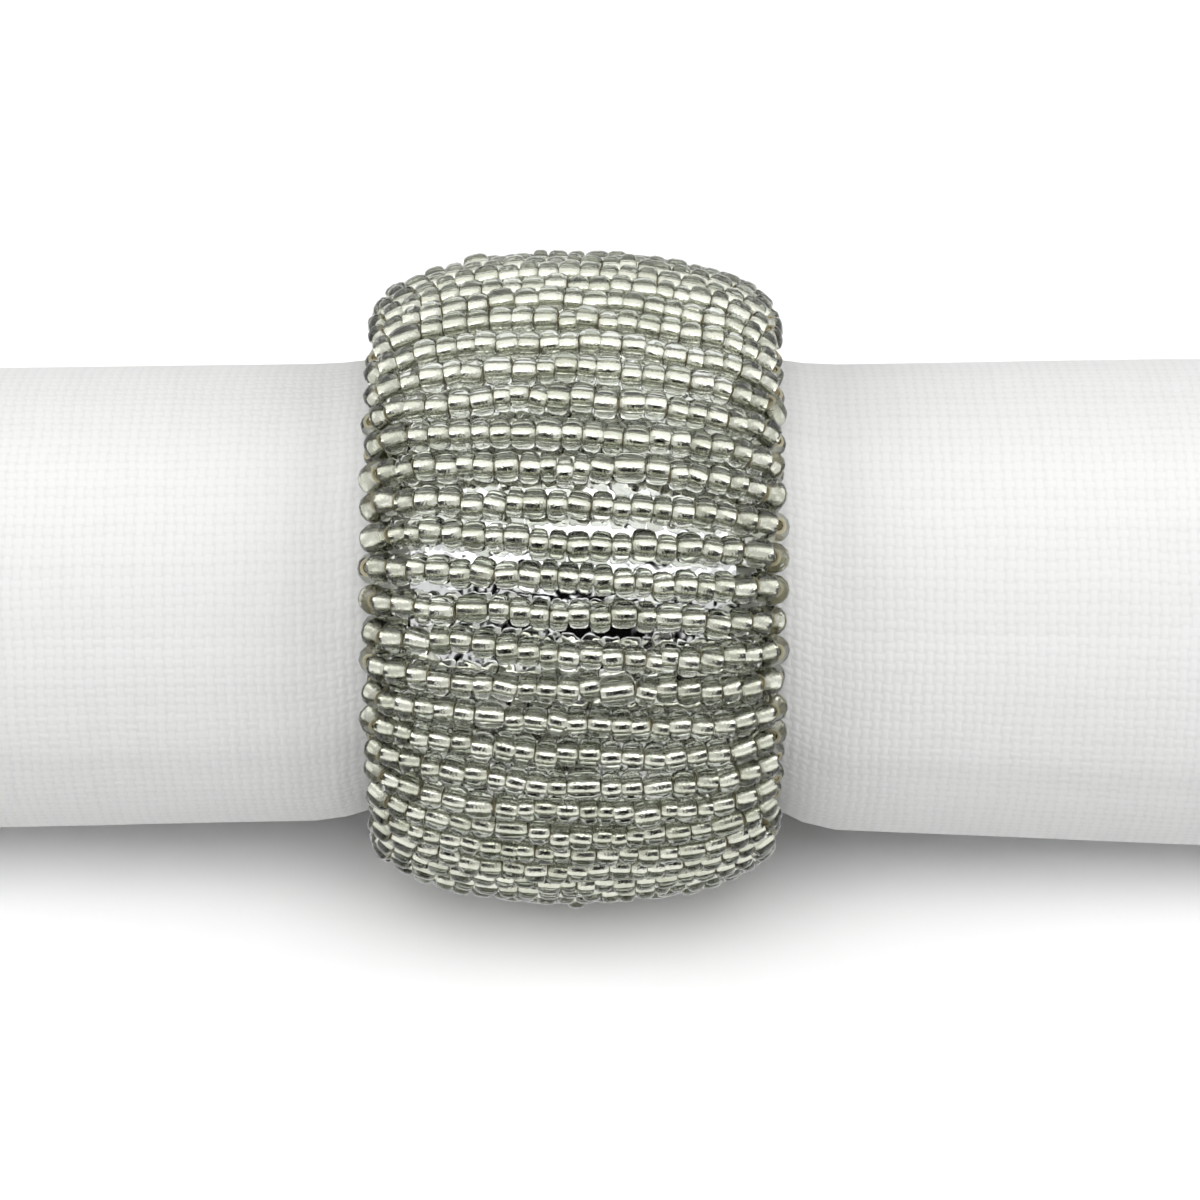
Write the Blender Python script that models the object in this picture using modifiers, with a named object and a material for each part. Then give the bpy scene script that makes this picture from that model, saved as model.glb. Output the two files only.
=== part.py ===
"""A cloth napkin rolled up and held in a beaded napkin ring, lying on a flat surface.

Metres, +Z up. X runs along the roll and the ring goes round it. The origin is at the bottom centre, on
the flat where the ring touches the surface.
"""

import math

import bmesh
import bpy
from mathutils import Vector

MM = 0.001

# Bead wrap: one strand wound round the band over both of its edges, so each row runs across the ring.
ROWS = 56
POINTS_PER_ROW = 3
FLAT_DEPTH = 0.25 * MM
CROWN_R = 26.92 * MM
EDGE_HALF = 16.75 * MM
FREE_R = 18.95 * MM
PARTING_HALF = 0.3 * MM
ROW_TURN_OUTSIDE = math.radians(4.2)
ROW_TURN = math.tau / ROWS

# Half of the wrap's outer line from the parting inside to the crown: along the roll, radius, row relief.
WRAP_HALF = (
    (PARTING_HALF, FREE_R, 0.6 * MM),
    (13.2 * MM, FREE_R, 0.6 * MM),
    (15.4 * MM, 19.4 * MM, 0.7 * MM),
    (16.6 * MM, 20.5 * MM, 0.8 * MM),
    (EDGE_HALF, 21.9 * MM, 0.9 * MM),
    (15.8 * MM, 23.4 * MM, 1.0 * MM),
    (14.3 * MM, 24.55 * MM, 1.2 * MM),
    (12.0 * MM, 25.45 * MM, 1.4 * MM),
    (8.4 * MM, 26.3 * MM, 1.5 * MM),
    (4.2 * MM, CROWN_R, 1.5 * MM),
)
PROFILE_TURN_IN = 4

# Domed band under the beads, thickest at its crown.
BAND_R = 24.42 * MM
BAND_HALF = 12.6 * MM
BAND_RISE = 1.85 * MM
BAND_INNER_R = 21.6 * MM
BAND_STATIONS = (1.0, 2.0 / 3.0, 1.0 / 3.0, 0.0)
PLAY = 0.32 * MM

# Rolled napkin: three layers of cloth to a turn.
ROLL_PITCH = 2.1 * MM
ROLL_WALL = 1.68 * MM
ROLL_TURNS = 7.4
STEPS_PER_TURN = 20
FLAP_ANGLE = math.radians(300)
STEP_DOWN = 0.764

# Stations along the roll: along the roll, outer radius, drop of the centre below the ring's axis.
ROLL_STATIONS = (
    (-84.5 * MM, 19.4 * MM, 3.6 * MM),
    (-50.0 * MM, 19.2 * MM, 2.65 * MM),
    (-20.0 * MM, 19.05 * MM, 1.95 * MM),
    (-16.9 * MM, 18.65 * MM, 0.8 * MM),
    (-13.0 * MM, 18.5 * MM, 0.05 * MM),
    (13.0 * MM, 18.5 * MM, 0.05 * MM),
    (16.9 * MM, 18.65 * MM, 0.8 * MM),
    (20.0 * MM, 19.4 * MM, 2.6 * MM),
    (50.0 * MM, 20.3 * MM, 3.4 * MM),
    (84.5 * MM, 20.6 * MM, 4.2 * MM),
)

AXIS_Z = CROWN_R - FLAT_DEPTH


def clear_scene():
    for obj in list(bpy.data.objects):
        bpy.data.objects.remove(obj, do_unlink=True)
    for coll in list(bpy.data.collections):
        bpy.data.collections.remove(coll)


def material(name, colour, roughness, metallic):
    mat = bpy.data.materials.new(name)
    mat.use_nodes = True
    shader = mat.node_tree.nodes["Principled BSDF"]
    shader.inputs["Base Color"].default_value = (*colour, 1.0)
    shader.inputs["Roughness"].default_value = roughness
    shader.inputs["Metallic"].default_value = metallic
    return mat


def add_object(name, mesh, mat, coll):
    obj = bpy.data.objects.new(name, mesh)
    mesh.materials.append(mat)
    coll.objects.link(obj)
    return obj


def profile_mesh(name, points, closed):
    """A line in the XY plane at +Y, to be turned about X. Its outer side runs towards -X."""
    mesh = bpy.data.meshes.new(name)
    count = len(points)
    edges = [(i, i + 1) for i in range(count - 1)]
    if closed:
        edges.append((count - 1, 0))
    mesh.from_pydata([(x, r, 0.0) for x, r in points], edges, [])
    return mesh


def add_screw(obj, steps):
    screw = obj.modifiers.new("Turned", "SCREW")
    screw.axis = "X"
    screw.angle = math.tau
    screw.screw_offset = 0.0
    screw.steps = steps
    screw.render_steps = steps
    screw.use_merge_vertices = True
    screw.merge_threshold = 0.00001
    screw.use_smooth_shade = False
    return screw


def turned_skin(points, steps, coll):
    """The points of a profile turned about X, as rows of coordinates: [step][profile point]."""
    mesh = profile_mesh("skin_profile", points, False)
    obj = bpy.data.objects.new("skin_profile", mesh)
    coll.objects.link(obj)
    add_screw(obj, steps)
    bpy.context.view_layer.update()
    evaluated = obj.evaluated_get(bpy.context.evaluated_depsgraph_get())
    made = bpy.data.meshes.new_from_object(evaluated)
    made.update()
    skin = bmesh.new()
    skin.from_mesh(made)
    bpy.data.objects.remove(obj, do_unlink=True)
    bpy.data.meshes.remove(mesh)
    bpy.data.meshes.remove(made)
    return skin


def mirrored(half):
    """The right half of a line, then the same points on the left in reverse order."""
    return list(half) + [(-x, *rest) for x, *rest in reversed(half)]


def line_normals(points):
    """Unit normals that point out of the wrap, for a line whose outer side runs towards -X."""
    normals = []
    for i in range(len(points)):
        before = points[max(i - 1, 0)]
        after = points[min(i + 1, len(points) - 1)]
        along = Vector((after[0] - before[0], after[1] - before[1])).normalized()
        normals.append((along.y, -along.x))
    return normals


def row_turn(x, inside):
    """How far the rows have turned about X at one place. The turn goes on inside the ring."""
    share = min(abs(x) / EDGE_HALF, 1.0)
    half = 0.5 * ROW_TURN_OUTSIDE
    if inside:
        turn = half + (0.5 * ROW_TURN - half) * (1.0 - share)
    else:
        turn = half * share
    return math.copysign(turn, x)


def nearest(points, x, r):
    gaps = [(p[0] - x) ** 2 + (p[1] - r) ** 2 for p in points]
    return gaps.index(min(gaps))


def wind_rows(skin, points, steps, relief, inside):
    """Raises the rows in a turned skin and winds them round the ring. Returns the lip rings."""
    normals = line_normals(points)
    rings = {}
    half_step = math.pi / steps
    bottom = -0.5 * math.pi - (1.5 * math.tau / (ROWS * POINTS_PER_ROW))
    for vert in skin.verts:
        x, y, z = vert.co
        i = nearest(points, x, math.hypot(y, z))
        k = int((math.atan2(z, y) + half_step) % math.tau / (math.tau / steps))
        sunk = relief[i] if k % (steps // ROWS) == 0 else 0.0
        x = points[i][0] - normals[i][0] * sunk
        r = points[i][1] - normals[i][1] * sunk
        angle = bottom + k * math.tau / steps + row_turn(points[i][0], inside[i])
        z = r * math.sin(angle)
        vert.co = (x, r * math.cos(angle), max(z, -AXIS_Z))
        rings.setdefault(i, {})[k] = vert
    last = len(points) - 1
    return rings[0], rings[last]


def band_radius(share):
    """The band's outer radius at a share of the way from its crown to its edge."""
    return BAND_R - BAND_RISE * share * share


def make_bead_wrap(coll, mat):
    outer = mirrored(WRAP_HALF)
    outer_line = [(x, r) for x, r, relief in outer]
    relief = [p[2] for p in outer]
    inside = [i < PROFILE_TURN_IN or i >= len(outer) - PROFILE_TURN_IN for i in range(len(outer))]
    under_half = [
        (PARTING_HALF, BAND_INNER_R - PLAY),
        (BAND_HALF + PLAY, BAND_INNER_R - PLAY),
        (BAND_HALF + PLAY, band_radius(1.0) + PLAY),
    ]
    under_half += [(BAND_HALF * n, band_radius(n) + PLAY) for n in BAND_STATIONS[1:-1]]
    crown = (0.0, BAND_R + PLAY)
    under_line = under_half + [crown] + [(-x, r) for x, r in reversed(under_half)]
    count = len(under_line)
    under_inside = [i < 2 or i >= count - 2 for i in range(count)]

    steps = ROWS * POINTS_PER_ROW
    body = turned_skin(outer_line, steps, coll)
    outer_lips = wind_rows(body, outer_line, steps, relief, inside)
    lip_keys = [{k: v.index for k, v in lip.items()} for lip in outer_lips]
    under = turned_skin(under_line, ROWS, coll)
    under_lips = wind_rows(under, under_line, ROWS, [0.0] * count, under_inside)
    under_keys = [{k: v.index for k, v in lip.items()} for lip in under_lips]
    bmesh.ops.reverse_faces(under, faces=under.faces)

    shift = len(body.verts)
    carry = bpy.data.meshes.new("under_skin")
    under.to_mesh(carry)
    body.from_mesh(carry)
    bpy.data.meshes.remove(carry)
    under.free()
    body.verts.ensure_lookup_table()
    for outside, within in zip(lip_keys, under_keys):
        for row in range(ROWS):
            following = (row + 1) % ROWS
            ring = [outside[(POINTS_PER_ROW * row + n) % steps] for n in range(4)]
            base = [shift + within[row], shift + within[following]]
            corners = (
                (ring[0], ring[1], base[0]),
                (ring[1], ring[2], base[1], base[0]),
                (ring[2], ring[3], base[1]),
            )
            for corner in corners:
                body.faces.new([body.verts[c] for c in corner])
    bmesh.ops.recalc_face_normals(body, faces=body.faces)
    mesh = bpy.data.meshes.new("bead_wrap")
    body.to_mesh(mesh)
    body.free()
    wrap = add_object("bead_wrap", mesh, mat, coll)
    wrap.location = (0.0, 0.0, AXIS_Z)
    return wrap


def make_band(coll, mat):
    half = [(BAND_HALF * n, band_radius(n)) for n in BAND_STATIONS]
    outer = half + [(-x, r) for x, r in reversed(half[:-1])]
    inner = [(-BAND_HALF, BAND_INNER_R), (BAND_HALF, BAND_INNER_R)]
    band = add_object("ring_band", profile_mesh("ring_band", outer + inner, True), mat, coll)
    add_screw(band, ROWS)
    band.location = (0.0, 0.0, AXIS_Z)
    return band


def turns_in(back):
    """Turns of cloth between the outside and a point this many turns back from the loose end.

    The cloth keeps its radius round most of a turn and steps in by one pitch just before it goes under.
    """
    whole = math.floor(back)
    share = max(back - whole - STEP_DOWN, 0.0) / (1.0 - STEP_DOWN)
    return whole + share * share * (3.0 - 2.0 * share)


def roll_point(x, radius, drop, back):
    angle = FLAP_ANGLE - math.tau * back
    r = (radius - ROLL_PITCH * turns_in(back)) if back > 0.0 else radius
    return (x, r * math.cos(angle), AXIS_Z - drop + r * math.sin(angle))


def make_napkin(coll, mat):
    along = len(ROLL_STATIONS)
    around = int(ROLL_TURNS * STEPS_PER_TURN) + 1
    sheet = bmesh.new()
    bmesh.ops.create_grid(sheet, x_segments=along - 1, y_segments=around - 1, size=1.0)
    sheet.verts.ensure_lookup_table()
    for vert in sheet.verts:
        i = round((1.0 - vert.co.x) * 0.5 * (along - 1))
        j = round((1.0 - vert.co.y) * 0.5 * (around - 1))
        vert.co = roll_point(*ROLL_STATIONS[i], j / STEPS_PER_TURN)
    mesh = bpy.data.meshes.new("napkin_roll")
    sheet.to_mesh(mesh)
    sheet.free()
    roll = add_object("napkin_roll", mesh, mat, coll)
    wall = roll.modifiers.new("Cloth", "SOLIDIFY")
    wall.thickness = ROLL_WALL
    wall.offset = -1.0
    wall.use_even_offset = True
    wall.use_quality_normals = True
    return roll


def main():
    clear_scene()
    coll = bpy.data.collections.new("napkin_in_ring")
    bpy.context.scene.collection.children.link(coll)
    cloth = material("white_linen", (0.86, 0.86, 0.84), 0.9, 0.0)
    silver = material("bright_silver", (0.8, 0.8, 0.78), 0.12, 1.0)
    beads = material("silver_lined_glass", (0.55, 0.55, 0.47), 0.15, 0.4)
    make_napkin(coll, cloth)
    make_band(coll, silver)
    make_bead_wrap(coll, beads)


main()
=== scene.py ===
"""Dresses the napkin in a ring: cloth, silver band, strung glass beads, floor, light and camera."""

import logging
import math
import random
from collections.abc import Callable
from dataclasses import dataclass, field
from enum import Enum

import bmesh
import bpy
import numpy as np
from mathutils import Matrix, Vector

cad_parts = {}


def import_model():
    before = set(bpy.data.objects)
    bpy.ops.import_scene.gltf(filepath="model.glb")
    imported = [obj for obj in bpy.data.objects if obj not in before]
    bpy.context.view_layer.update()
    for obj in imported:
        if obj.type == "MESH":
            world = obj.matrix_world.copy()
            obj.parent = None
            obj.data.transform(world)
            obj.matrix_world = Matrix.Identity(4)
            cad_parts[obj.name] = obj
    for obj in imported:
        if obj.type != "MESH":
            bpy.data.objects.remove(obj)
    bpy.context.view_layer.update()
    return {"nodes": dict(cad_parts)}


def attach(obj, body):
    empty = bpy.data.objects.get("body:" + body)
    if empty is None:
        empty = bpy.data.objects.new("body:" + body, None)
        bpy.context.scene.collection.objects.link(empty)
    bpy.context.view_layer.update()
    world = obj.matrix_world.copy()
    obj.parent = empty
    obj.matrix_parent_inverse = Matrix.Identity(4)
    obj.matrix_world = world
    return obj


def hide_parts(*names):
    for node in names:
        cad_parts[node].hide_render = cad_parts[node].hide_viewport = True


MM = 0.001
AXIS_HEIGHT = 26.67 * MM
GLASS_IOR = 1.5
LOG = logging.getLogger("napkin_in_ring")

Triple = tuple[float, float, float]
Value = bpy.types.NodeSocket | float
Placed = list[tuple[Matrix, float]]


class Held(Enum):
    """How a sheet of cloth is held."""

    FOLDED = "folded"


class Layer(Enum):
    """Which side of the band a bead lies on."""

    UPPER = "upper"
    INNER = "inner"


class Nodes:
    """Short helpers that add nodes to one material or world."""

    def __init__(self, owner: bpy.types.Material | bpy.types.World) -> None:
        """Empties the node tree of the material or world."""
        owner.use_nodes = True
        self.owner = owner
        self.tree = owner.node_tree
        self.tree.nodes.clear()

    def add(self, kind: str, **inputs: object) -> bpy.types.Node:
        """Adds a node and sets or links its inputs.

        Args:
            kind: The node's type name without its ShaderNode prefix.
            inputs: Values or sockets by input name, with spaces as underscores.

        Returns:
            The new node.
        """
        node = self.tree.nodes.new("ShaderNode" + kind)
        for key, value in inputs.items():
            self.put(node.inputs[key.replace("_", " ")], value)
        return node

    def put(self, socket: bpy.types.NodeSocket, value: object) -> None:
        """Links an output to an input, or sets the input's value.

        Args:
            socket: The input.
            value: The output, or the number, colour or vector to set.
        """
        if isinstance(value, bpy.types.NodeSocket):
            self.tree.links.new(value, socket)
        else:
            socket.default_value = value

    def math(self, operation: str, *values: Value, clamp: bool = False) -> bpy.types.NodeSocket:
        """Adds a Math node.

        Args:
            operation: What the node works out.
            values: Its inputs, in order.
            clamp: Whether the result is kept between 0 and 1.

        Returns:
            The result.
        """
        node = self.add("Math")
        node.operation = operation
        node.use_clamp = clamp
        for socket, value in zip(node.inputs, values):
            self.put(socket, value)
        return node.outputs[0]

    def mix(self, share: Value, a: object, b: object) -> bpy.types.NodeSocket:
        """Mixes two colours.

        Args:
            share: How much of the second colour there is.
            a: The first colour.
            b: The second colour.

        Returns:
            The mixed colour.
        """
        node = self.add("Mix")
        node.data_type = "RGBA"
        for name, kind, value in (("Factor", "VALUE", share), ("A", "RGBA", a), ("B", "RGBA", b)):
            socket = next(s for s in node.inputs if s.name == name and s.type == kind)
            self.put(socket, (*value, 1.0) if isinstance(value, tuple) else value)
        return next(s for s in node.outputs if s.type == "RGBA")

    def ease(self, value: Value, start: float, end: float, low: float, high: float) -> bpy.types.NodeSocket:
        """Runs smoothly from one number to another while a value rises.

        Args:
            value: The value.
            start: Where the change starts.
            end: Where the change ends.
            low: The result up to the start.
            high: The result from the end on.

        Returns:
            The result.
        """
        node = self.add("MapRange", Value=value, From_Min=start, From_Max=end, To_Min=low, To_Max=high)
        node.interpolation_type = "SMOOTHSTEP"
        return node.outputs[0]

    def band(self, value: Value, limits: tuple[float, float], soft: float) -> bpy.types.NodeSocket:
        """Gives 1 between two limits and 0 outside them, with soft edges.

        Args:
            value: The value that is compared.
            limits: The two limits.
            soft: Half the width of each edge.

        Returns:
            The result.
        """
        low, high = limits
        rise = self.ease(value, low - soft, low + soft, 0.0, 1.0)
        fall = self.ease(value, high - soft, high + soft, 1.0, 0.0)
        return self.math("MULTIPLY", rise, fall)

    def place(self) -> bpy.types.NodeSocket:
        """Gives the surface point in the object's own coordinates."""
        return self.add("TexCoord").outputs["Object"]

    def noise(self, place: Value, scale: float, detail: float = 2.0) -> bpy.types.NodeSocket:
        """Gives a noise from 0 to 1."""
        return self.add("TexNoise", Vector=place, Scale=scale, Detail=detail).outputs["Fac"]

    def streaks(self, place: Value, stretch: Triple, detail: float) -> bpy.types.NodeSocket:
        """Gives a noise with its own scale along each axis."""
        return self.noise(self.add("Mapping", Vector=place, Scale=stretch).outputs[0], 1.0, detail)

    def bump(self, height: Value, strength: float, distance: float) -> bpy.types.NodeSocket:
        """Gives the normal of a surface with small relief."""
        return self.add("Bump", Height=height, Strength=strength, Distance=distance).outputs[0]

    def surface(self, **inputs: object) -> bpy.types.Material:
        """Gives the material a Principled shader with these inputs, and returns the material."""
        return self.finish(self.add("BsdfPrincipled", **inputs))

    def finish(self, shader: bpy.types.Node) -> bpy.types.Material | bpy.types.World:
        """Links the shader to the output and returns the material or world."""
        kind = "OutputWorld" if isinstance(self.owner, bpy.types.World) else "OutputMaterial"
        self.add(kind, Surface=shader.outputs[0])
        return self.owner


@dataclass(frozen=True)
class LinenCloth:
    """Plain-woven white cloth, drawn on the sheet's own UV map, which is its flat size."""

    flat: float = 0.508
    warp_pitch: float = 0.80 * MM
    weft_pitch: float = 0.76 * MM
    wander_scale: float = 90.0
    wander: float = 0.9
    gap_closing: float = 1.9
    # How much darker the gaps between threads are painted: painted shade.
    gap_painted_shade: float = 0.38
    slub_stretch: tuple[float, float] = (620.0, 9.0)
    slub_relief: float = 0.4
    fine_scale: float = 420.0
    mottle: float = 0.26
    colour: Triple = (0.70, 0.70, 0.695)
    # Darker colour for the painted shade in thread gaps and along the stitches, and for the random slub
    # mottle.
    painted_shade_and_slub_colour: Triple = (0.52, 0.52, 0.52)
    hem: float = 9.0 * MM
    stitch_width: float = 0.35 * MM
    stitch_pitch: float = 2.2 * MM
    # How much darker the sunk stitch line is painted: painted shade.
    stitch_painted_shade: float = 0.5
    stitch_relief: float = 0.8
    relief_strength: float = 0.35
    relief_height: float = 0.12 * MM
    roughness: float = 0.92
    specular: float = 0.2
    sheen: float = 0.15
    sheen_roughness: float = 0.5

    def material(self) -> bpy.types.Material:
        """Builds the cloth material.

        Returns:
            The material, with weave, slubs, hem stitches, painted shade between the threads and along the
            stitch line, and a soft sheen.
        """
        n = Nodes(bpy.data.materials.new("white_linen_cloth"))
        uv = n.add("UVMap").outputs["UV"]
        across, along, _ = n.add("SeparateXYZ", Vector=uv).outputs
        height, gap = self.weave(n, uv, across, along)
        slubs = self.slubs(n, uv)
        stitch = self.stitches(n, across, along)
        uneven = n.math("ADD", slubs, n.math("SUBTRACT", n.noise(uv, self.fine_scale), 0.5))
        mottle = n.math("MULTIPLY", uneven, self.mottle)
        # Painted shade in the gaps between threads, plus random slub mottle.
        shade = n.math("ADD", n.math("MULTIPLY", gap, self.gap_painted_shade), mottle, clamp=True)
        tone = n.mix(shade, self.colour, self.painted_shade_and_slub_colour)
        # Painted shade along the sunk stitch line.
        tone = n.mix(n.math("MULTIPLY", stitch, self.stitch_painted_shade), tone, self.painted_shade_and_slub_colour)
        raised = n.math("ADD", height, n.math("MULTIPLY", slubs, self.slub_relief))
        relief = n.math("SUBTRACT", raised, n.math("MULTIPLY", stitch, self.stitch_relief))
        return n.surface(
            Base_Color=tone,
            Roughness=self.roughness,
            Specular_IOR_Level=self.specular,
            Sheen_Weight=self.sheen,
            Sheen_Roughness=self.sheen_roughness,
            Normal=n.bump(relief, self.relief_strength, self.relief_height),
        )

    def weave(self, n: Nodes, uv: Value, across: Value, along: Value) -> tuple[Value, Value]:
        """Lays threads over and under each other.

        Args:
            n: The material's nodes.
            uv: The place on the flat cloth.
            across: Its first part.
            along: Its second part.

        Returns:
            The threads' height, and how much of a gap there is between them, which the material paints darker
            as shade.
        """
        noise = n.noise(uv, self.wander_scale, 3.0)
        sway = n.math("MULTIPLY", n.math("SUBTRACT", noise, 0.5), self.wander)
        u = n.math("ADD", n.math("MULTIPLY", across, self.flat / self.warp_pitch), sway)
        v = n.math("ADD", n.math("MULTIPLY", along, self.flat / self.weft_pitch), sway)
        sin_u = n.math("SINE", n.math("MULTIPLY", u, math.pi))
        sin_v = n.math("SINE", n.math("MULTIPLY", v, math.pi))
        over = n.math("MULTIPLY", n.math("MULTIPLY", sin_u, sin_v), 0.5)
        warp = n.math("MULTIPLY", n.math("ABSOLUTE", sin_u), n.math("ADD", 0.5, over))
        weft = n.math("MULTIPLY", n.math("ABSOLUTE", sin_v), n.math("SUBTRACT", 0.5, over))
        height = n.math("MAXIMUM", warp, weft)
        closed = n.math("MULTIPLY", height, self.gap_closing)
        return height, n.math("SUBTRACT", 1.0, closed, clamp=True)

    def slubs(self, n: Nodes, uv: Value) -> Value:
        """Draws thicker and thinner stretches of thread, both ways.

        Args:
            n: The material's nodes.
            uv: The place on the flat cloth.

        Returns:
            The unevenness, about zero.
        """
        fine, coarse = self.slub_stretch
        warp = n.streaks(uv, (fine, coarse, 1.0), 1.0)
        weft = n.streaks(uv, (coarse, fine, 1.0), 1.0)
        return n.math("ADD", n.math("SUBTRACT", warp, 0.5), n.math("SUBTRACT", weft, 0.5))

    def stitches(self, n: Nodes, across: Value, along: Value) -> Value:
        """Runs a line of stitches along all four hems.

        Args:
            n: The material's nodes.
            across: The first part of the place on the flat cloth.
            along: Its second part.

        Returns:
            1 on a stitch and 0 away from the line; the material sinks it and paints it darker as shade.
        """
        near_u = n.math("MINIMUM", across, n.math("SUBTRACT", 1.0, across))
        near_v = n.math("MINIMUM", along, n.math("SUBTRACT", 1.0, along))
        edge = n.math("MINIMUM", near_u, near_v)
        off = n.math("ABSOLUTE", n.math("SUBTRACT", edge, self.hem / self.flat))
        line = n.math("SUBTRACT", 1.0, n.math("DIVIDE", off, self.stitch_width / self.flat), clamp=True)
        run = n.math("MULTIPLY", n.math("ADD", across, along), math.tau * self.flat / self.stitch_pitch)
        beat = n.math("ADD", n.math("MULTIPLY", n.math("SINE", run), 0.5), 0.5)
        return n.math("MULTIPLY", line, beat)


@dataclass(frozen=True)
class BeadGlass:
    """Clear glass with a slight olive cast that differs a little from bead to bead."""

    light: Triple = (0.83, 0.845, 0.80)
    deep: Triple = (0.60, 0.62, 0.55)
    roughness: float = 0.02
    dimple_scale: float = 900.0
    dimple_strength: float = 0.25
    dimple_depth: float = 0.06 * MM

    def material(self) -> bpy.types.Material:
        """Builds the glass material.

        Returns:
            The material, with each bead's tone from its own attribute.
        """
        n = Nodes(bpy.data.materials.new("clear_bead_glass"))
        tone = n.add("Attribute")
        tone.attribute_name = "tone"
        dimple = n.noise(n.place(), self.dimple_scale, 1.0)
        return n.surface(
            Base_Color=n.mix(tone.outputs["Fac"], self.light, self.deep),
            Roughness=self.roughness,
            Transmission_Weight=1.0,
            IOR=GLASS_IOR,
            Normal=n.bump(dimple, self.dimple_strength, self.dimple_depth),
        )


@dataclass(frozen=True)
class GroundEnds:
    """The ground, matt end faces of the beads, tinted by the thread."""

    colour: Triple = (0.60, 0.56, 0.38)
    shade: Triple = (0.36, 0.33, 0.20)
    grain_scale: float = 2600.0
    roughness: float = 0.7
    transmission: float = 0.45

    def material(self) -> bpy.types.Material:
        """Builds the material of the end faces.

        Returns:
            The material.
        """
        n = Nodes(bpy.data.materials.new("ground_bead_ends"))
        grain = n.noise(n.place(), self.grain_scale)
        return n.surface(
            Base_Color=n.mix(grain, self.colour, self.shade),
            Roughness=self.roughness,
            Transmission_Weight=self.transmission,
            IOR=GLASS_IOR,
        )


@dataclass(frozen=True)
class SilverLining:
    """Bright, slightly crumpled silver inside the hole of each bead."""

    colour: Triple = (0.95, 0.95, 0.90)
    worn: Triple = (0.80, 0.79, 0.70)
    patch_scale: float = 260.0
    crumple_scale: float = 6500.0
    crumple_depth: float = 0.03 * MM
    roughness: float = 0.03
    worn_roughness: float = 0.12

    def material(self) -> bpy.types.Material:
        """Builds the lining material.

        Returns:
            The material.
        """
        n = Nodes(bpy.data.materials.new("bead_silver_lining"))
        place = n.place()
        crumple = n.noise(place, self.crumple_scale)
        patch = n.noise(place, self.patch_scale)
        return n.surface(
            Base_Color=n.mix(patch, self.colour, self.worn),
            Roughness=n.math("ADD", n.math("MULTIPLY", patch, self.worn_roughness), self.roughness),
            Metallic=1.0,
            Normal=n.bump(crumple, 1.0, self.crumple_depth),
        )


@dataclass(frozen=True)
class StrandThread:
    """Tan thread that the beads are strung on, seen only between their ends."""

    colour: Triple = (0.66, 0.59, 0.38)
    shade: Triple = (0.46, 0.40, 0.23)
    fibre_scale: float = 4000.0
    roughness: float = 0.8

    def material(self) -> bpy.types.Material:
        """Builds the thread material.

        Returns:
            The material.
        """
        n = Nodes(bpy.data.materials.new("tan_thread"))
        colour = n.mix(n.noise(n.place(), self.fibre_scale), self.colour, self.shade)
        return n.surface(Base_Color=colour, Roughness=self.roughness)


@dataclass(frozen=True)
class BandSilver:
    """Bright silver plate with ripples and hairline wear."""

    colour: Triple = (0.86, 0.87, 0.87)
    worn: Triple = (0.74, 0.75, 0.75)
    ripple_scale: float = 420.0
    ripple_strength: float = 0.8
    ripple_depth: float = 0.5 * MM
    hair_stretch: Triple = (3000.0, 120.0, 120.0)
    roughness: float = 0.02
    worn_roughness: float = 0.10

    def material(self) -> bpy.types.Material:
        """Builds the band material.

        Returns:
            The material.
        """
        n = Nodes(bpy.data.materials.new("bright_silver_plate"))
        place = n.place()
        ripple = n.noise(place, self.ripple_scale)
        hair = n.streaks(place, self.hair_stretch, 2.0)
        return n.surface(
            Base_Color=n.mix(hair, self.colour, self.worn),
            Roughness=n.math("ADD", n.math("MULTIPLY", hair, self.worn_roughness), self.roughness),
            Metallic=1.0,
            Normal=n.bump(ripple, self.ripple_strength, self.ripple_depth),
        )


def clear_selection() -> None:
    """Leaves object mode with nothing selected."""
    if bpy.context.object and bpy.context.object.mode != "OBJECT":
        bpy.ops.object.mode_set(mode="OBJECT")
    bpy.ops.object.select_all(action="DESELECT")


def read_rows(rows: bpy.types.bpy_prop_collection, key: str, kind: type, width: int = 1) -> np.ndarray:
    """Reads one value of every row of a mesh's list.

    Args:
        rows: The list, such as the mesh's vertices.
        key: The value's name.
        kind: The type of its numbers.
        width: How many numbers each row has.

    Returns:
        The values, one row for each row of the list.
    """
    values = np.empty(len(rows) * width, dtype=kind)
    rows.foreach_get(key, values)
    return values.reshape(-1, width) if width > 1 else values


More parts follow.
